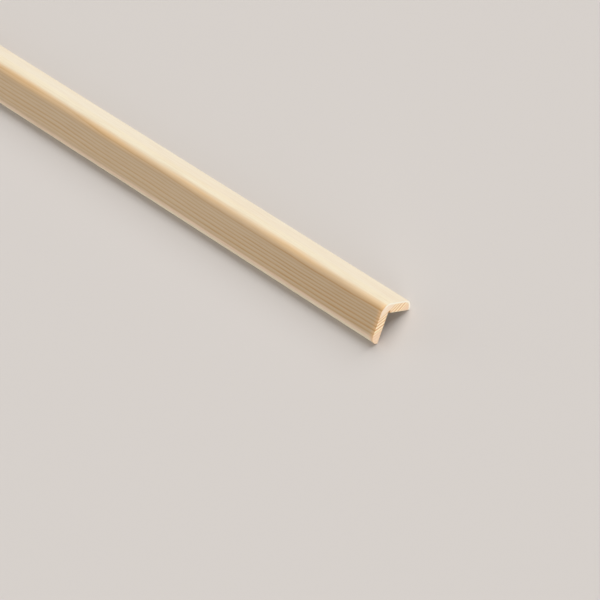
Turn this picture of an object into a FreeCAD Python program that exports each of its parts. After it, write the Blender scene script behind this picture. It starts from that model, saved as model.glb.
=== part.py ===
import FreeCAD, Part
import math
import os

# A corner guard moulding: one length of planed pine angle with two equal legs.
# It lies on a level floor with its outer corner up, standing on the free edges of both legs.
# X runs along the length, Z is up, the floor is z = 0, and every size is in millimetres.

# Overall sizes
length = 900.0
leg_width = 27.0
leg_thickness = 7.0

# Roundings of the section
nose_radius = 7.0
tip_radius = 6.2
arris_radius = 0.3

# Relief cut in the inner corner, sunk into the near leg beside the other leg's inner face
relief_width = 1.6
relief_depth = 1.6

# The section leans by half a right angle, so that it stands on both leg edges
lean = 45.0

# Sizes that follow from the ones above
half_length = length / 2.0
inner_start = leg_thickness + relief_width


# The section is drawn flat in two coordinates measured from the sharp outer corner:
# a runs out along the first leg and b runs out along the second leg.
def point(a, b):
    return FreeCAD.Vector(a, b, 0.0)


def line(start, end):
    return Part.LineSegment(point(*start), point(*end)).toShape()


def arc(centre, radius, start_deg, end_deg):
    mid_deg = (start_deg + end_deg) / 2.0
    on_arc = []
    for angle in (start_deg, mid_deg, end_deg):
        turn = math.radians(angle)
        on_arc.append(point(centre[0] + radius * math.cos(turn), centre[1] + radius * math.sin(turn)))
    return Part.Arc(*on_arc).toShape()


def first_leg_edges():
    """The first leg's outer face, its rounded free edge and its inner face as far as the relief cut."""
    flat_end = leg_width - tip_radius
    ease_a = leg_width - arris_radius
    ease_b = leg_thickness - arris_radius
    return [
        line((nose_radius, 0.0), (flat_end, 0.0)),
        arc((flat_end, tip_radius), tip_radius, -90.0, 0.0),
        line((leg_width, tip_radius), (leg_width, ease_b)),
        arc((ease_a, ease_b), arris_radius, 0.0, 90.0),
        line((ease_a, leg_thickness), (inner_start, leg_thickness)),
    ]


def relief_edges():
    """The relief cut: a square groove whose last wall lies in line with the second leg's inner face."""
    floor = leg_thickness - relief_depth
    return [
        line((inner_start, leg_thickness), (inner_start, floor)),
        line((inner_start, floor), (leg_thickness, floor)),
        line((leg_thickness, floor), (leg_thickness, leg_thickness)),
    ]


def second_leg_edges():
    """The second leg's inner face from the inner corner out, its rounded free edge and its outer face."""
    flat_end = leg_width - tip_radius
    ease_a = leg_thickness - arris_radius
    ease_b = leg_width - arris_radius
    return [
        line((leg_thickness, leg_thickness), (leg_thickness, ease_b)),
        arc((ease_a, ease_b), arris_radius, 0.0, 90.0),
        line((ease_a, leg_width), (tip_radius, leg_width)),
        arc((tip_radius, flat_end), tip_radius, 90.0, 180.0),
        line((0.0, flat_end), (0.0, nose_radius)),
    ]


def nose_edge():
    """The rounded outer corner that joins the two outer faces."""
    return [arc((nose_radius, nose_radius), nose_radius, 180.0, 270.0)]


def section_face():
    edges = first_leg_edges() + relief_edges() + second_leg_edges() + nose_edge()
    return Part.Face(Part.Wire(edges))


def stand_up(shape):
    """Carries the flat section into the YZ plane, corner up, and drops it onto the floor."""
    side = math.sin(math.radians(lean))
    drop = math.cos(math.radians(lean))
    along_a = FreeCAD.Vector(0.0, side, -drop)
    along_b = FreeCAD.Vector(0.0, -side, -drop)
    along_length = FreeCAD.Vector(-1.0, 0.0, 0.0)
    turn = FreeCAD.Rotation(along_a, along_b, along_length, "ZXY")
    shape.Placement = FreeCAD.Placement(FreeCAD.Vector(half_length, 0.0, 0.0), turn)
    shape.translate(FreeCAD.Vector(0.0, 0.0, -shape.BoundBox.ZMin))
    return shape


def corner_guard():
    bar = section_face().extrude(FreeCAD.Vector(0.0, 0.0, length))
    return stand_up(bar)


os.makedirs("parts", exist_ok=True)
corner_guard().exportStep("parts/corner_guard.step")
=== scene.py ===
import bisect
import math

import bmesh
import bpy
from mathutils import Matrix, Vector, noise
from mathutils.geometry import delaunay_2d_cdt


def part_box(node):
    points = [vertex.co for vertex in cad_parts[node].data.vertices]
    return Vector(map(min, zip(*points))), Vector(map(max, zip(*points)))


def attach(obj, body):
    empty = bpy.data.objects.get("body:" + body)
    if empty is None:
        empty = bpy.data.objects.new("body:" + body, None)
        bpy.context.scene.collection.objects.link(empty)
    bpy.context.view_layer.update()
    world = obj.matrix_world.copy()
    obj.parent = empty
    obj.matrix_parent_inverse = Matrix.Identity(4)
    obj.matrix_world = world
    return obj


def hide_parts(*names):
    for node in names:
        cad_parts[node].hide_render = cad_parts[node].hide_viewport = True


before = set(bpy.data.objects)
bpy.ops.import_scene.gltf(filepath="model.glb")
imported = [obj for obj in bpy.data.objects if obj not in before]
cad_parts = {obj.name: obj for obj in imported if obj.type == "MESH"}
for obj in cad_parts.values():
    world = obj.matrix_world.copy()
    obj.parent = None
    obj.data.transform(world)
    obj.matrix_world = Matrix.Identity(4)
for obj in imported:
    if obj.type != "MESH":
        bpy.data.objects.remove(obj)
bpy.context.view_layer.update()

MM = 0.001

# The moulding's section, in millimetres. a runs out along the first leg from the sharp
# outer corner and b runs out along the second leg, as in the CAD source.
LEG_WIDTH = 27.0
LEG_THICKNESS = 7.0
NOSE_RADIUS = 7.0
TIP_RADIUS = 6.2
ARRIS_RADIUS = 0.3
RELIEF_WIDTH = 1.6
RELIEF_DEPTH = 1.6
RELIEF_ARRIS = 0.15
END_ARRIS = 0.25
FLAT_END = LEG_WIDTH - TIP_RADIUS
RELIEF_WALL = LEG_THICKNESS + RELIEF_WIDTH
RELIEF_FLOOR = LEG_THICKNESS - RELIEF_DEPTH

# The mesh lies at least this far inside the exact section and the exact ends, so that it never
# leaves the CAD part's box.
SKIN = 0.012
END_SKIN = 0.002

_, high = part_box("corner_guard")
HALF_LENGTH = high.x / MM - END_SKIN
# Height of the sharp outer corner, which the rounded nose cuts off
CORNER_HEIGHT = high.z / MM + NOSE_RADIUS * (math.sqrt(2.0) - 1.0)

# How finely the mesh follows the section and the length
OUTER_STEP = 0.25
INNER_STEP = 0.35
LEAST_ARC_STEPS = 4
STATION_STEP = 5.0
END_FACE_STEP = 0.8
END_ARRIS_STEPS = 3
END_FACE_TOLERANCE = 1e-5

# Growth rings, in millimetres. The pith lies outside the section, past the outer corner.
# Each year is given by the radius at which its latewood ends, and by how dark that latewood is
# along the faces and on the ends.
PITH = (-28.9, -39.3)
YEARS = (
    (48.0, 0.30, 0.10), (49.7, 0.30, 0.10), (51.3, 0.15, 0.10), (53.3, 0.67, 0.10), (54.7, 0.45, 0.12),
    (56.4, 0.52, 0.25), (58.2, 0.76, 0.90), (60.1, 0.68, 1.00), (62.3, 0.80, 1.00), (64.8, 0.84, 1.00),
    (66.9, 0.66, 0.70), (68.6, 0.35, 0.60), (70.9, 0.20, 0.35), (73.2, 0.25, 0.25), (75.5, 0.20, 0.20),
    (77.8, 0.20, 0.20),
)
YEAR_RADIUS, DARK_ALONG, DARK_ON_ENDS = 0, 1, 2
# In the mesh, the latewood rises and falls away again between these shares of each year.
LATEWOOD_RISE = (0.35, 0.85)
LATEWOOD_FALL = (0.95, 1.0)
# Height at which fully dark latewood would stand over the earlywood
RAISED_GRAIN = 0.015

# The pattern drifts outwards and back along the length, and sways a little more quickly.
DRIFT = 0.93
DRIFT_LENGTH = 420.0
SWAY = 0.21
SWAY_LENGTH = 95.0
SWAY_PHASE = -1.5
# It also wanders and ripples at random. The last two values are sizes along and across the moulding.
WANDER = (0.35, 55.0, 14.0)
RIPPLE = (0.12, 14.0, 4.0)
# The materials make the rings finely ragged, by up to half of this in years, and this many times a
# metre along X, Y and Z.
RING_JITTER = 0.24
RING_JITTER_GRAIN = (60.0, 900.0, 900.0)

# The unwrapped map, as shares of its width and height: a strip for the long faces, and above it a
# patch for each end face
MAP_MARGIN = 0.005
STRIP_WIDTH = 0.99
STRIP_HEIGHT = 0.80
END_MAP_WIDTH = 0.2
END_MAP_HEIGHT = 0.18
END_MAP_BOTTOM = 0.815
FAR_END_MAP_LEFT = 0.02
NEAR_END_MAP_LEFT = 0.27
END_SLOT = 1


def smoothstep(start, end, value):
    share = min(1.0, max(0.0, (value - start) / (end - start)))
    return share * share * (3.0 - 2.0 * share)


def srgb(red, green, blue):
    """A colour written as 0 to 255 screen values, as the linear colour that shaders take."""
    linear = []
    for value in (red, green, blue):
        share = value / 255.0
        linear.append(share / 12.92 if share <= 0.04045 else ((share + 0.055) / 1.055) ** 2.4)
    return (*linear, 1.0)


# Section outline

def spread(start, end, step):
    """Points from start towards end, without the last one."""
    start, end = Vector(start), Vector(end)
    count = max(1, round((end - start).length / step))
    return [start.lerp(end, i / count) for i in range(count)]


def turn(centre, radius, start_deg, end_deg, step):
    """Points on an arc, without the last one."""
    count = max(LEAST_ARC_STEPS, round(radius * math.radians(abs(end_deg - start_deg)) / step))
    points = []
    for i in range(count):
        angle = math.radians(start_deg + (end_deg - start_deg) * i / count)
        points.append(Vector(centre) + radius * Vector((math.cos(angle), math.sin(angle))))
    return points


def first_leg_outline():
    """The first leg's outer face, its rounded free edge and its inner face as far as the relief cut."""
    ease_a = LEG_WIDTH - ARRIS_RADIUS
    ease_b = LEG_THICKNESS - ARRIS_RADIUS
    points = spread((NOSE_RADIUS, 0.0), (FLAT_END, 0.0), OUTER_STEP)
    points += turn((FLAT_END, TIP_RADIUS), TIP_RADIUS, -90.0, 0.0, OUTER_STEP)
    points += spread((LEG_WIDTH, TIP_RADIUS), (LEG_WIDTH, ease_b), OUTER_STEP)
    points += turn((ease_a, ease_b), ARRIS_RADIUS, 0.0, 90.0, OUTER_STEP)
    points += spread((ease_a, LEG_THICKNESS), (RELIEF_WALL + RELIEF_ARRIS, LEG_THICKNESS), INNER_STEP)
    return points


def relief_outline():
    """The relief cut's eased arris, its wall and its floor."""
    ease_b = LEG_THICKNESS - RELIEF_ARRIS
    points = turn((RELIEF_WALL + RELIEF_ARRIS, ease_b), RELIEF_ARRIS, 90.0, 180.0, OUTER_STEP)
    points += spread((RELIEF_WALL, ease_b), (RELIEF_WALL, RELIEF_FLOOR), INNER_STEP)
    points += spread((RELIEF_WALL, RELIEF_FLOOR), (LEG_THICKNESS, RELIEF_FLOOR), INNER_STEP)
    return points


def second_leg_outline():
    """The second leg's inner face from the relief cut's floor, its rounded free edge and its outer face."""
    ease_a = LEG_THICKNESS - ARRIS_RADIUS
    ease_b = LEG_WIDTH - ARRIS_RADIUS
    points = spread((LEG_THICKNESS, RELIEF_FLOOR), (LEG_THICKNESS, ease_b), INNER_STEP)
    points += turn((ease_a, ease_b), ARRIS_RADIUS, 0.0, 90.0, OUTER_STEP)
    points += spread((ease_a, LEG_WIDTH), (TIP_RADIUS, LEG_WIDTH), OUTER_STEP)
    points += turn((TIP_RADIUS, FLAT_END), TIP_RADIUS, 90.0, 180.0, OUTER_STEP)
    points += spread((0.0, FLAT_END), (0.0, NOSE_RADIUS), OUTER_STEP)
    return points


def section_outline():
    """The section as a closed loop of (a, b) points, with the wood on its left."""
    nose = turn((NOSE_RADIUS, NOSE_RADIUS), NOSE_RADIUS, 180.0, 270.0, OUTER_STEP)
    return first_leg_outline() + relief_outline() + second_leg_outline() + nose


def outward_normals(outline):
    normals = []
    for i, here in enumerate(outline):
        before = (here - outline[i - 1]).normalized()
        after = (outline[(i + 1) % len(outline)] - here).normalized()
        along = (before + after).normalized()
        normals.append(Vector((along.y, -along.x)))
    return normals


def place(x, a, b):
    """A point of the section at a station, in metres in the part's frame."""
    y = (a - b) / math.sqrt(2.0)
    z = CORNER_HEIGHT - (a + b) / math.sqrt(2.0)
    return Vector((x, y, z)) * MM


# Growth rings

def stray(x, a, b, amount, along, across):
    """A smooth random shift of up to that amount, whose features have these sizes along and across."""
    return amount * noise.noise(Vector((x / along, a / across, b / across)))


def ring_radius(x, a, b):
    """Distance from the pith, which wanders along the length, in millimetres."""
    from_near_end = HALF_LENGTH - x
    drift = DRIFT * math.sin(from_near_end * math.tau / DRIFT_LENGTH)
    drift += SWAY * math.sin(from_near_end * math.tau / SWAY_LENGTH + SWAY_PHASE)
    wander = stray(x, a, b, *WANDER)
    ripple = stray(x, a, b, *RIPPLE)
    return math.hypot(a - PITH[0], b - PITH[1]) - drift + wander + ripple


def ring_phase(radius):
    """Counts the years outwards. Each year ends, with its darkest wood, at a whole number."""
    radii = [year[YEAR_RADIUS] for year in YEARS]
    i = min(max(bisect.bisect_right(radii, radius), 1), len(radii) - 1)
    return i - 1 + (radius - radii[i - 1]) / (radii[i] - radii[i - 1])


def latewood(phase):
    """How dark the wood is here, from 0 to 1: it darkens slowly through the year and ends sharply."""
    share = phase % 1.0
    depth = YEARS[max(0, min(math.floor(phase) + 1, len(YEARS) - 1))][DARK_ALONG]
    return depth * smoothstep(*LATEWOOD_RISE, share) * (1.0 - smoothstep(*LATEWOOD_FALL, share))


# Mesh of the moulding

def stations():
    """The mesh's rows from the far end to the near end: where each one is and how far it is drawn in.

    The outermost rows roll over the eased end arrises.
    """
    straight = HALF_LENGTH - END_ARRIS
    count = round(2.0 * straight / STATION_STEP)
    middle = [(-straight * (1.0 - 2.0 * i / count), 0.0) for i in range(count + 1)]
    near_arris = []
    for step in range(1, END_ARRIS_STEPS + 1):
        angle = math.radians(90.0 * step / END_ARRIS_STEPS)
        near_arris.append((straight + END_ARRIS * math.sin(angle), END_ARRIS * (1.0 - math.cos(angle))))
    far_arris = [(-x, inset) for x, inset in reversed(near_arris)]
    return far_arris + middle + near_arris


def add_vertex(mesh, x, a, b):
    made = mesh.verts.new(place(x, a, b))
    made[mesh.verts.layers.float["rings"]] = ring_phase(ring_radius(x, a, b))
    return made


def girth_shares(outline):
    """How far round the section each point of the outline lies, from 0 to 1."""
    reached = [0.0]
    for i, here in enumerate(outline):
        reached.append(reached[-1] + (outline[(i + 1) % len(outline)] - here).length)
    return [length / reached[-1] for length in reached]


def add_long_faces(mesh, outline, normals, rows):
    """Adds the faces along the length, with raised latewood, and returns their rows of vertices."""
    grid = []
    for x, inset in rows:
        row = []
        for here, normal in zip(outline, normals):
            sunk = RAISED_GRAIN * (1.0 - latewood(ring_phase(ring_radius(x, here.x, here.y))))
            at = here - normal * (SKIN + inset + sunk)
            row.append(add_vertex(mesh, x, at.x, at.y))
        grid.append(row)

    uv = mesh.loops.layers.uv["OFBake"]
    along = [(x + HALF_LENGTH) / (2.0 * HALF_LENGTH) for x, _ in rows]
    up = girth_shares(outline)
    for j in range(len(grid) - 1):
        for i in range(len(outline)):
            k = (i + 1) % len(outline)
            face = mesh.faces.new((grid[j][i], grid[j][k], grid[j + 1][k], grid[j + 1][i]))
            face.smooth = True
            corners = ((j, i), (j, i + 1), (j + 1, i + 1), (j + 1, i))
            for loop, (station, point) in zip(face.loops, corners):
                across_map = MAP_MARGIN + STRIP_WIDTH * along[station]
                loop[uv].uv = (across_map, MAP_MARGIN + STRIP_HEIGHT * up[point])
    return grid


def end_triangles(rim):
    """Triangles that fill the rim: their corners, which rim point each corner is, and the faces."""
    steps = int(LEG_WIDTH / END_FACE_STEP) + 1
    places = [(i + 0.5) * END_FACE_STEP for i in range(steps)]
    inner = [Vector((a, b)) for a in places for b in places]
    edges = [(i, (i + 1) % len(rim)) for i in range(len(rim))]
    inside_only = 1
    corners, _, faces, sources, _, _ = delaunay_2d_cdt(
        rim + inner, edges, [], inside_only, END_FACE_TOLERANCE)
    on_rim = []
    for source in sources:
        rim_points = [s for s in source if s < len(rim)]
        on_rim.append(rim_points[0] if rim_points else None)
    return corners, on_rim, faces


def add_end_face(mesh, triangles, rim_row, end, map_left):
    """Adds the face of the far end (-1) or the near end (1) inside that end's outermost row of vertices."""
    corners, on_rim, faces = triangles
    uv = mesh.loops.layers.uv["OFBake"]
    made = []
    for at, rim_point in zip(corners, on_rim):
        if rim_point is None:
            made.append(add_vertex(mesh, end * HALF_LENGTH, at.x, at.y))
        else:
            made.append(rim_row[rim_point])
    for corner_numbers in faces:
        order = corner_numbers if end < 0 else tuple(reversed(corner_numbers))
        face = mesh.faces.new([made[c] for c in order])
        face.material_index = END_SLOT
        face.smooth = True
        for loop, c in zip(face.loops, order):
            across = END_MAP_WIDTH * corners[c].x / LEG_WIDTH
            up = END_MAP_HEIGHT * corners[c].y / LEG_WIDTH
            loop[uv].uv = (map_left + across, END_MAP_BOTTOM + up)


def build_moulding():
    """The moulding as one closed mesh, with its ring pattern as an attribute."""
    outline = section_outline()
    normals = outward_normals(outline)
    mesh = bmesh.new()
    mesh.verts.layers.float.new("rings")
    mesh.loops.layers.uv.new("OFBake")
    grid = add_long_faces(mesh, outline, normals, stations())
    rim = [here - normal * (SKIN + END_ARRIS) for here, normal in zip(outline, normals)]
    triangles = end_triangles(rim)
    add_end_face(mesh, triangles, grid[0], -1, FAR_END_MAP_LEFT)
    add_end_face(mesh, triangles, grid[-1], 1, NEAR_END_MAP_LEFT)
    # The points that were laid out for the end faces but lie outside the section carry no face.
    bmesh.ops.delete(mesh, geom=[v for v in mesh.verts if not v.link_faces], context="VERTS")
    bmesh.ops.recalc_face_normals(mesh, faces=mesh.faces)
    data = bpy.data.meshes.new("moulding")
    mesh.to_mesh(data)
    mesh.free()
    moulding = bpy.data.objects.new("moulding", data)
    bpy.context.scene.collection.objects.link(moulding)
    return moulding


# Shader nodes

class Shader:
    """Short ways to add and join nodes in one material."""

    def __init__(self, name):
        self.material = bpy.data.materials.new(name)
        self.material.use_nodes = True
        self.tree = self.material.node_tree
        self.surface = self.tree.nodes["Principled BSDF"]

    def set(self, socket, value):
        if isinstance(value, bpy.types.NodeSocket):
            self.tree.links.new(value, socket)
        else:
            socket.default_value = value

    def finish(self, colour, roughness, specular, normal=None):
        self.set(self.surface.inputs["Base Color"], colour)
        self.set(self.surface.inputs["Roughness"], roughness)
        self.set(self.surface.inputs["Specular IOR Level"], specular)
        if normal is not None:
            self.set(self.surface.inputs["Normal"], normal)
        return self.material

    def math(self, operation, first, second=0.0, third=0.0):
        node = self.tree.nodes.new("ShaderNodeMath")
        node.operation = operation
        for socket, value in zip(node.inputs, (first, second, third)):
            self.set(socket, value)
        return node.outputs[0]

    def product(self, first, *others):
        for other in others:
            first = self.math("MULTIPLY", first, other)
        return first

    def shifted(self, value, shift, where):
        """A value with a shift added to it as where goes from 0 to 1."""
        return self.math("MULTIPLY_ADD", where, shift, value)

    def weakened(self, value, share, where):
        """A value that loses a share of itself as where goes from 0 to 1."""
        return self.math("MULTIPLY", value, self.math("MULTIPLY_ADD", where, -share, 1.0))

    def mix(self, share, first, second):
        node = self.tree.nodes.new("ShaderNodeMix")
        node.data_type = "RGBA"
        # The node has inputs for every type of data. The colours are 6 and 7, and output 2.
        self.set(node.inputs["Factor"], share)
        self.set(node.inputs[6], first)
        self.set(node.inputs[7], second)
        return node.outputs[2]

    def ramp(self, value, stops, interpolation="EASE"):
        node = self.tree.nodes.new("ShaderNodeValToRGB")
        node.color_ramp.interpolation = interpolation
        elements = node.color_ramp.elements
        elements.remove(elements[1])
        elements[0].position = stops[0][0]
        elements[0].color = (stops[0][1],) * 3 + (1.0,)
        for position, level in stops[1:]:
            elements.new(position).color = (level, level, level, 1.0)
        self.set(node.inputs[0], value)
        return node.outputs[0]

    def stain(self, colour, pattern, stops, tint):
        """A colour with a tint over it where the pattern is high."""
        return self.mix(self.ramp(pattern, stops), colour, tint)

    def attribute(self, name):
        node = self.tree.nodes.new("ShaderNodeAttribute")
        node.attribute_name = name
        return node.outputs["Fac"]

    def position(self):
        return self.tree.nodes.new("ShaderNodeTexCoord").outputs["Object"]

    def axis(self, name):
        """A coordinate of the part's frame, in millimetres."""
        node = self.tree.nodes.new("ShaderNodeSeparateXYZ")
        self.set(node.inputs[0], self.position())
        return self.math("DIVIDE", node.outputs[name], MM)

    def between(self, value, start, end):
        """Rises smoothly from 0 at start to 1 at end."""
        node = self.tree.nodes.new("ShaderNodeMapRange")
        node.interpolation_type = "SMOOTHSTEP"
        for socket, setting in zip(node.inputs, (value, start, end, 0.0, 1.0)):
            self.set(socket, setting)
        return node.outputs[0]

    def section(self):
        """Place in the section, in millimetres: across the moulding, then along each of its two legs."""
        across = self.axis("Y")
        down = self.math("SUBTRACT", CORNER_HEIGHT, self.axis("Z"))
        along_first = self.math("DIVIDE", self.math("ADD", down, across), math.sqrt(2.0))
        along_second = self.math("DIVIDE", self.math("SUBTRACT", down, across), math.sqrt(2.0))
        return across, along_first, along_second

    def inside(self, first, second, radius):
        """Depth under a rounding of the section, given the distances from its centre towards both faces."""
        first = self.math("MAXIMUM", first, 0.0)
        second = self.math("MAXIMUM", second, 0.0)
        reach = self.math("MULTIPLY_ADD", first, first, self.math("MULTIPLY", second, second))
        return self.math("SUBTRACT", radius, self.math("SQRT", reach))

    def noise(self, per_metre, detail=3.0, roughness=0.5):
        """Noise that repeats about so many times a metre along X, Y and Z."""
        scale = self.tree.nodes.new("ShaderNodeVectorMath")
        scale.operation = "MULTIPLY"
        self.set(scale.inputs[0], self.position())
        scale.inputs[1].default_value = per_metre
        node = self.tree.nodes.new("ShaderNodeTexNoise")
        node.inputs["Scale"].default_value = 1.0
        node.inputs["Detail"].default_value = detail
        node.inputs["Roughness"].default_value = roughness
        self.set(node.inputs["Vector"], scale.outputs[0])
        return node.outputs["Fac"]

    def bump(self, height, distance, strength, normal=None):
        node = self.tree.nodes.new("ShaderNodeBump")
        node.inputs["Distance"].default_value = distance
        node.inputs["Strength"].default_value = strength
        self.set(node.inputs["Height"], height)
        if normal is not None:
            self.set(node.inputs["Normal"], normal)
        return node.outputs[0]

    def latewood(self, stops, column):
        """Latewood from 0 to 1, from the count of years that the mesh carries.

        The stops run through one year, and the column of YEARS says how dark each year is.
        """
        jitter = self.math("SUBTRACT", self.noise(RING_JITTER_GRAIN), 0.5)
        jitter = self.math("MULTIPLY", jitter, RING_JITTER)
        years = self.math("ADD", self.attribute("rings"), jitter)
        profile = self.ramp(self.math("FRACT", years), stops)
        # One stop a year, each with that year's depth
        levels = []
        for i in range(len(YEARS)):
            levels.append((i / len(YEARS), YEARS[min(i + 1, len(YEARS) - 1)][column]))
        depth = self.ramp(self.math("DIVIDE", years, float(len(YEARS))), levels, "CONSTANT")
        return self.math("MULTIPLY", profile, depth)


# Material of the long faces. A pair of places, in millimetres, says where a change starts and where it
# is complete. Across the moulding, places are above 0 on the first leg and below 0 on the second.

# The second leg's outer face is a little deeper in colour towards the ends. Beside the nose it is darkened
# with painted shade, where the rounding turns away from the lamps.
SIDE = srgb(210, 187, 156)
SIDE_AT_END = srgb(188, 162, 129)
TOWARDS_END = (150.0, 0.0)
SIDE_AT_END_SHARE = 0.30
PAINTED_SHADE_BESIDE_NOSE = srgb(188, 150, 108)
BESIDE_NOSE = (-0.6, -2.2)
BESIDE_NOSE_FADES = (9.0, 6.5)
PAINTED_SHADE_SHARE = 0.23

# The second leg's rounded edge is paler, partly as paler wood and partly as painted light from below, and its
# brim is lighter still as painted light. It starts further out away from the ends.
PALE_LIT_EDGE = srgb(247, 220, 193)
PAINTED_LIGHT_BRIM = srgb(255, 241, 213)
ONTO_EDGE = (21.0, 23.0)
ONTO_BRIM = (23.0, 24.8)
ONTO_SECOND_LEG = (0.0, -2.0)
EDGE_SHIFTS = (150.0, 260.0)
EDGE_SHIFT = -0.9

# The first leg is paler too, and a little warmer beside the nose.
TOP = srgb(231, 221, 200)
TOP_BESIDE_NOSE = srgb(232, 221, 195)
AWAY_FROM_NOSE = (7.5, 11.0)
ONTO_FIRST_LEG = (-2.5, 2.5)

# The second leg turns more orange within a few millimetres of the cut ends.
ORANGE_AT_CUT = srgb(242, 193, 141)
TOWARDS_SAW_CUT = (3.6, 0.2)
ORANGE_AT_CUT_SHARE = 0.65

# The golden, blotchy band on the nose starts lower and reaches further down away from the ends, and it
# swells along the length.
NOSE_GOLD = srgb(236, 191, 130)
NOSE_TOP = (3.2, -0.2)
NOSE_BOTTOM = (-4.6, -0.4)
NOSE_TOP_SHIFTS = (100.0, 150.0)
NOSE_TOP_SHIFT = 0.9
NOSE_BOTTOM_SHIFTS = (165.0, 225.0)
NOSE_BOTTOM_SHIFT = 1.3
NOSE_BLOTCH = 2.8
NOSE_BLOTCH_GRAIN = (24.0, 260.0, 260.0)
NOSE_SHARE = 0.40
NOSE_SWELL = 0.11
NOSE_SWELL_LENGTH = 80.0
NOSE_SWELL_PHASE = 5.89

# The walls and the floor of the relief cut are pale gold: painted warm bounce light inside the shaded cut.
RELIEF_BOUNCE_LIGHT = srgb(250, 206, 138)
RELIEF_BLEND = 0.1
RELIEF_BLEND_AT_TOP = 0.02

# Latewood along the faces, through one year. Places here are shares of the year.
YEAR_ALONG = ((0.0, 0.0), (0.30, 0.05), (0.62, 0.35), (0.80, 1.0), (0.93, 1.0), (1.0, 0.0))
SIDE_LATE = srgb(178, 126, 50)
PALE_LATE = srgb(227, 212, 185)
# It comes and goes along each line, slowly and quickly, and is stronger near the ends.
SLOW_GRAIN = (9.0, 160.0, 160.0)
SLOW_STOPS = ((0.3, 0.70), (0.7, 0.90))
QUICK_GRAIN = (70.0, 420.0, 420.0)
QUICK_STOPS = ((0.3, 0.82), (0.6, 1.04))
AWAY_FROM_ENDS = (60.0, 190.0)
AWAY_FROM_ENDS_LOSS = 0.33
FIRST_LEG_LOSS = 0.5
# The dark line under the nose fades a little where the pattern stops drifting outwards. The first
# two pairs are slopes of the drift's wave, which go from 1 to -1.
FADING_STARTS = (0.45, 0.1)
FADING_ENDS = (-0.9, -0.3)
UNDER_NOSE = (7.4, 6.4)
UNDER_NOSE_LOSS = 0.25

# Long fine fibres, a coarser veil of them, short dark dashes where resin canals are cut open, and
# broad clouds. A grain says how many times a metre a pattern repeats along X, Y and Z.
FIBRE_GRAIN = (22.0, 2600.0, 2600.0)
FIBRE_STOPS = ((0.3, 0.0), (0.75, 0.14))
FIBRE = srgb(196, 158, 112)
FIBRE_ROUGHNESS_STOPS = ((0.3, 0.50), (0.7, 0.64))
VEIL_GRAIN = (45.0, 900.0, 900.0)
VEIL_STOPS = ((0.4, 0.0), (0.7, 0.12))
VEIL = srgb(184, 144, 98)
CANAL_GRAIN = (130.0, 5200.0, 5200.0)
CANAL_STOPS = ((0.66, 0.0), (0.78, 0.30))
CANAL = srgb(150, 108, 66)
CLOUD_GRAIN = (7.0, 60.0, 60.0)
CLOUD_STOPS = ((0.35, 0.0), (0.75, 0.10))
CLOUD = srgb(222, 184, 134)
PLANED_SPECULAR = 0.35
# Height in metres and strength of the relief of the fibres and of the latewood
FIBRE_BUMP = (0.00003, 0.35)
LATEWOOD_BUMP = (0.00002, 0.3)


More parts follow.
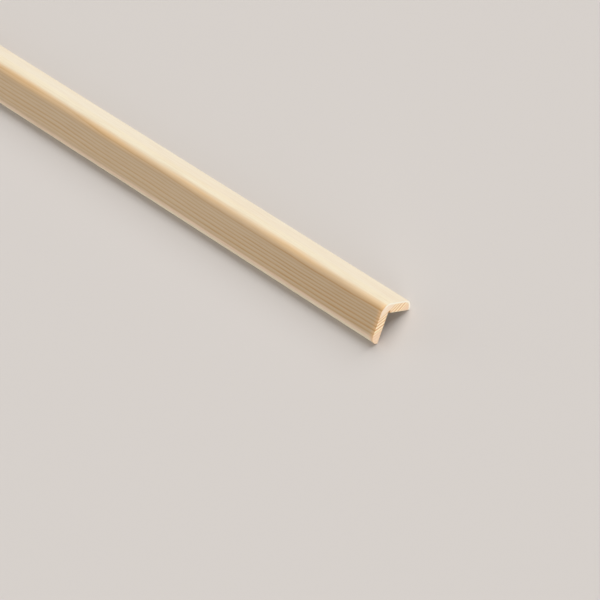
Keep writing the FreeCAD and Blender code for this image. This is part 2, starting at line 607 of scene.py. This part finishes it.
class LongGrain(Shader):
    """Planed pine along the grain."""

    def __init__(self):
        super().__init__("pine_long_grain")
        self.across, self.along_first, self.along_second = self.section()
        self.from_end = self.math("SUBTRACT", HALF_LENGTH, self.math("ABSOLUTE", self.axis("X")))
        self.on_first_leg = self.between(self.across, *ONTO_FIRST_LEG)
        self.outwards = self.shifted(self.along_second, EDGE_SHIFT, self.between(self.from_end, *EDGE_SHIFTS))
        self.on_edge = self.product(
            self.between(self.outwards, *ONTO_EDGE), self.between(self.across, *ONTO_SECOND_LEG))
        self.on_nose = self.shifted(
            self.across, NOSE_TOP_SHIFT, self.between(self.from_end, *NOSE_TOP_SHIFTS))

    def tinted(self, colour, tint, share, where):
        """A colour that takes on a share of a tint as where goes from 0 to 1."""
        return self.mix(self.product(where, share), colour, tint)

    def earlywood(self):
        colour = self.tinted(SIDE, SIDE_AT_END, SIDE_AT_END_SHARE, self.between(self.from_end, *TOWARDS_END))
        # Painted shade on the second leg's outer face beside the nose
        shade_beside_nose = self.product(
            self.between(self.on_nose, *BESIDE_NOSE), self.between(self.along_second, *BESIDE_NOSE_FADES))
        colour = self.tinted(colour, PAINTED_SHADE_BESIDE_NOSE, PAINTED_SHADE_SHARE, shade_beside_nose)
        # Paler wood and painted light on the second leg's rounded edge, brightest on its brim
        lit_edge = self.mix(self.between(self.outwards, *ONTO_BRIM), PALE_LIT_EDGE, PAINTED_LIGHT_BRIM)
        colour = self.mix(self.on_edge, colour, lit_edge)
        # More orange within a few millimetres of the cut ends
        colour = self.tinted(
            colour, ORANGE_AT_CUT, ORANGE_AT_CUT_SHARE, self.between(self.from_end, *TOWARDS_SAW_CUT))
        top = self.mix(self.between(self.along_first, *AWAY_FROM_NOSE), TOP_BESIDE_NOSE, TOP)
        colour = self.mix(self.on_first_leg, colour, top)
        colour = self.mix(self.nose_band(), colour, NOSE_GOLD)
        # Painted warm bounce light on the relief cut's walls and floor
        return self.mix(self.relief_walls(), colour, RELIEF_BOUNCE_LIGHT)

    def nose_band(self):
        """The nose runs nearly level with one year's growth, which leaves a band along it."""
        blotch = self.math("MULTIPLY_ADD", self.noise(NOSE_BLOTCH_GRAIN), NOSE_BLOTCH, -NOSE_BLOTCH / 2.0)
        upper = self.between(self.math("ADD", self.on_nose, blotch), *NOSE_TOP)
        reach = self.shifted(
            self.across, NOSE_BOTTOM_SHIFT, self.between(self.from_end, *NOSE_BOTTOM_SHIFTS))
        lower = self.between(reach, *NOSE_BOTTOM)
        wave = self.math("MULTIPLY_ADD", self.axis("X"), -math.tau / NOSE_SWELL_LENGTH, NOSE_SWELL_PHASE)
        strength = self.math("MULTIPLY_ADD", self.math("SINE", wave), NOSE_SWELL, NOSE_SHARE)
        return self.product(upper, lower, strength)

    def relief_walls(self):
        inside_wall = self.between(self.along_first, RELIEF_WALL + RELIEF_BLEND, RELIEF_WALL)
        below_face = self.between(
            self.along_second, LEG_THICKNESS + RELIEF_BLEND_AT_TOP, LEG_THICKNESS - RELIEF_BLEND)
        past_corner = self.between(self.along_first, LEG_THICKNESS - RELIEF_BLEND, LEG_THICKNESS)
        above_floor = self.between(self.along_second, RELIEF_FLOOR - RELIEF_BLEND, RELIEF_FLOOR)
        return self.product(inside_wall, below_face, past_corner, above_floor)

    def figure(self):
        """How strongly the latewood shows, from 0 to 1."""
        slow = self.ramp(self.noise(SLOW_GRAIN), SLOW_STOPS)
        quick = self.ramp(self.noise(QUICK_GRAIN), QUICK_STOPS)
        figure = self.product(self.latewood(YEAR_ALONG, DARK_ALONG), slow, quick)
        figure = self.weakened(figure, AWAY_FROM_ENDS_LOSS, self.between(self.from_end, *AWAY_FROM_ENDS))
        from_near_end = self.math("SUBTRACT", HALF_LENGTH, self.axis("X"))
        wave = self.math("COSINE", self.math("DIVIDE", from_near_end, DRIFT_LENGTH / math.tau))
        fading = self.product(
            self.between(wave, *FADING_STARTS), self.between(wave, *FADING_ENDS),
            self.between(self.along_second, *UNDER_NOSE))
        figure = self.weakened(figure, UNDER_NOSE_LOSS, fading)
        return self.weakened(figure, FIRST_LEG_LOSS, self.on_first_leg)

    def build(self):
        figure = self.figure()
        # The latewood is paler on the first leg and on the second leg's rounded edge, where that edge is
        # partly painted light.
        pale = self.math("MAXIMUM", self.on_first_leg, self.on_edge)
        colour = self.mix(figure, self.earlywood(), self.mix(pale, SIDE_LATE, PALE_LATE))
        fibre = self.noise(FIBRE_GRAIN, detail=4.0, roughness=0.6)
        veil = self.noise(VEIL_GRAIN, detail=3.0, roughness=0.6)
        canal = self.noise(CANAL_GRAIN, detail=2.0)
        cloud = self.noise(CLOUD_GRAIN, detail=2.0)
        colour = self.stain(colour, fibre, FIBRE_STOPS, FIBRE)
        colour = self.stain(colour, veil, VEIL_STOPS, VEIL)
        colour = self.stain(colour, canal, CANAL_STOPS, CANAL)
        colour = self.stain(colour, cloud, CLOUD_STOPS, CLOUD)
        relief = self.bump(figure, *LATEWOOD_BUMP, self.bump(fibre, *FIBRE_BUMP))
        return self.finish(colour, self.ramp(fibre, FIBRE_ROUGHNESS_STOPS), PLANED_SPECULAR, relief)


# Material of the ends. Places in the ring pattern are shares of all its years.

# The ground is palest where the rings stand out, in the middle of each leg.
GROUND_INNER = srgb(241, 224, 201)
GROUND_OUTER = srgb(237, 211, 184)
GROUND_OUTWARDS = (0.45, 0.65)
GROUND_MIDDLE = srgb(252, 242, 208)
MIDDLE_STOPS = ((0.28, 0.0), (0.40, 1.0), (0.62, 1.0), (0.68, 0.1))
# Latewood on the ends, through one year
YEAR_ON_ENDS = ((0.0, 0.0), (0.54, 0.0), (0.68, 1.0), (0.985, 1.0), (1.0, 0.0))
END_LATE = srgb(203, 124, 50)
FLECK_GRAIN = (900.0, 2400.0, 2400.0)
FLECK_STOPS = ((0.35, 0.0), (0.75, 0.18))
FLECK = srgb(222, 172, 124)
END_CLOUD_GRAIN = (60.0, 160.0, 160.0)
END_CLOUD_STOPS = ((0.4, 0.0), (0.75, 0.2))
END_CLOUD = srgb(238, 208, 176)
# A pale rim along the upper outer edge is a painted highlight, where the eased arris catches the light.
RIM_HIGHLIGHT = srgb(244, 240, 226)
RIM_DEPTH = (1.8, 0.8)
RIM_SIDE = (-1.2, 0.2)
RIM_SHARE = 0.9
SAWN_ROUGHNESS = 0.75
SAWN_SPECULAR = 0.25
SAW_GRAIN = (900.0, 260.0, 2600.0)
# Height in metres and strength of the relief of the saw marks and of the flecks
SAW_BUMP = (0.00006, 0.4)
FLECK_BUMP = (0.00004, 0.4)


class EndGrain(Shader):
    """Sawn pine across the grain."""

    def __init__(self):
        super().__init__("pine_end_grain")
        self.across, self.along_first, self.along_second = self.section()

    def ground(self):
        years = self.math("DIVIDE", self.attribute("rings"), float(len(YEARS)))
        colour = self.mix(self.between(years, *GROUND_OUTWARDS), GROUND_INNER, GROUND_OUTER)
        return self.mix(self.ramp(years, MIDDLE_STOPS), colour, GROUND_MIDDLE)

    def rim(self):
        under_nose = self.inside(
            self.math("SUBTRACT", NOSE_RADIUS, self.along_first),
            self.math("SUBTRACT", NOSE_RADIUS, self.along_second), NOSE_RADIUS)
        under_tip = self.inside(
            self.math("SUBTRACT", self.along_first, FLAT_END),
            self.math("SUBTRACT", TIP_RADIUS, self.along_second), TIP_RADIUS)
        rim = self.between(self.math("MINIMUM", under_nose, under_tip), *RIM_DEPTH)
        return self.product(rim, self.between(self.across, *RIM_SIDE), RIM_SHARE)

    def build(self):
        fleck = self.noise(FLECK_GRAIN, detail=4.0, roughness=0.7)
        cloud = self.noise(END_CLOUD_GRAIN, detail=2.0)
        saw = self.noise(SAW_GRAIN)
        colour = self.mix(self.latewood(YEAR_ON_ENDS, DARK_ON_ENDS), self.ground(), END_LATE)
        colour = self.stain(colour, fleck, FLECK_STOPS, FLECK)
        colour = self.stain(colour, cloud, END_CLOUD_STOPS, END_CLOUD)
        # Painted highlight along the upper outer edge of the end
        colour = self.mix(self.rim(), colour, RIM_HIGHLIGHT)
        relief = self.bump(saw, *SAW_BUMP, self.bump(fleck, *FLECK_BUMP))
        return self.finish(colour, SAWN_ROUGHNESS, SAWN_SPECULAR, relief)


moulding = build_moulding()
moulding.data.materials.append(LongGrain().build())
moulding.data.materials.append(EndGrain().build())
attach(moulding, "root")
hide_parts("corner_guard")


# Floor, light and camera

FLOOR_HALF_WIDTH = 120.0
FLOOR = srgb(208, 202, 197)
FLOOR_ROUGHNESS = 0.9
FLOOR_SPECULAR = 0.1
BACKDROP = srgb(214, 208, 203)
WHITE = (1.0, 1.0, 1.0, 1.0)
AMBIENT = 0.22

# Soft lamps: where the light comes from, the level at which it renders a white face square to it,
# and its softness in degrees
LAMPS = {
    "key": ((0.0, 0.60, 0.80), 0.90, 60.0),
    "front": ((0.8975, -0.4185, 0.139), 0.66, 30.0),
    "back": ((-0.87, -0.35, 0.34), 0.10, 30.0),
}

# The camera is above the near end, from which the moulding runs away to the upper left. Its place is
# in metres, its turn in radians, and its lens and sensor in millimetres.
CAMERA_PLACE = (1.299502, -0.500542, 1.341005)
CAMERA_TURN = (0.614069, 0.244608, 0.751846)
CAMERA_LENS = 171.276
CAMERA_SENSOR = 36.0
CAMERA_REACH = 400.0


def plain_floor():
    mesh = bmesh.new()
    bmesh.ops.create_grid(mesh, x_segments=1, y_segments=1, size=FLOOR_HALF_WIDTH)
    data = bpy.data.meshes.new("floor")
    mesh.to_mesh(data)
    mesh.free()
    floor = bpy.data.objects.new("floor", data)
    bpy.context.scene.collection.objects.link(floor)
    data.materials.append(Shader("floor").finish(FLOOR, FLOOR_ROUGHNESS, FLOOR_SPECULAR))


def studio_world():
    """Even white light from all sides, which the camera sees as a plain backdrop."""
    world = bpy.data.worlds.new("studio")
    world.use_nodes = True
    bpy.context.scene.world = world
    tree = world.node_tree
    light = tree.nodes["Background"]
    light.inputs["Color"].default_value = WHITE
    light.inputs["Strength"].default_value = AMBIENT
    seen = tree.nodes.new("ShaderNodeBackground")
    seen.inputs["Color"].default_value = BACKDROP
    path = tree.nodes.new("ShaderNodeLightPath")
    mix = tree.nodes.new("ShaderNodeMixShader")
    tree.links.new(path.outputs["Is Camera Ray"], mix.inputs[0])
    tree.links.new(light.outputs[0], mix.inputs[1])
    tree.links.new(seen.outputs[0], mix.inputs[2])
    tree.links.new(mix.outputs[0], tree.nodes["World Output"].inputs["Surface"])


def soft_lamp(name, towards, level, softness_deg):
    lamp = bpy.data.lights.new(name, "SUN")
    lamp.energy = level * math.pi
    lamp.angle = math.radians(softness_deg)
    item = bpy.data.objects.new(name, lamp)
    item.rotation_mode = "QUATERNION"
    item.rotation_quaternion = Vector(towards).to_track_quat("Z", "Y")
    bpy.context.scene.collection.objects.link(item)


def photo_camera():
    camera = bpy.data.cameras.new("camera")
    camera.sensor_width = CAMERA_SENSOR
    camera.lens = CAMERA_LENS
    camera.clip_end = CAMERA_REACH
    item = bpy.data.objects.new("camera", camera)
    item.location = CAMERA_PLACE
    item.rotation_euler = CAMERA_TURN
    bpy.context.scene.collection.objects.link(item)
    bpy.context.scene.camera = item


plain_floor()
studio_world()
for name, (towards, level, softness_deg) in LAMPS.items():
    soft_lamp(name, towards, level, softness_deg)
photo_camera()
bpy.context.scene.view_settings.view_transform = "Standard"
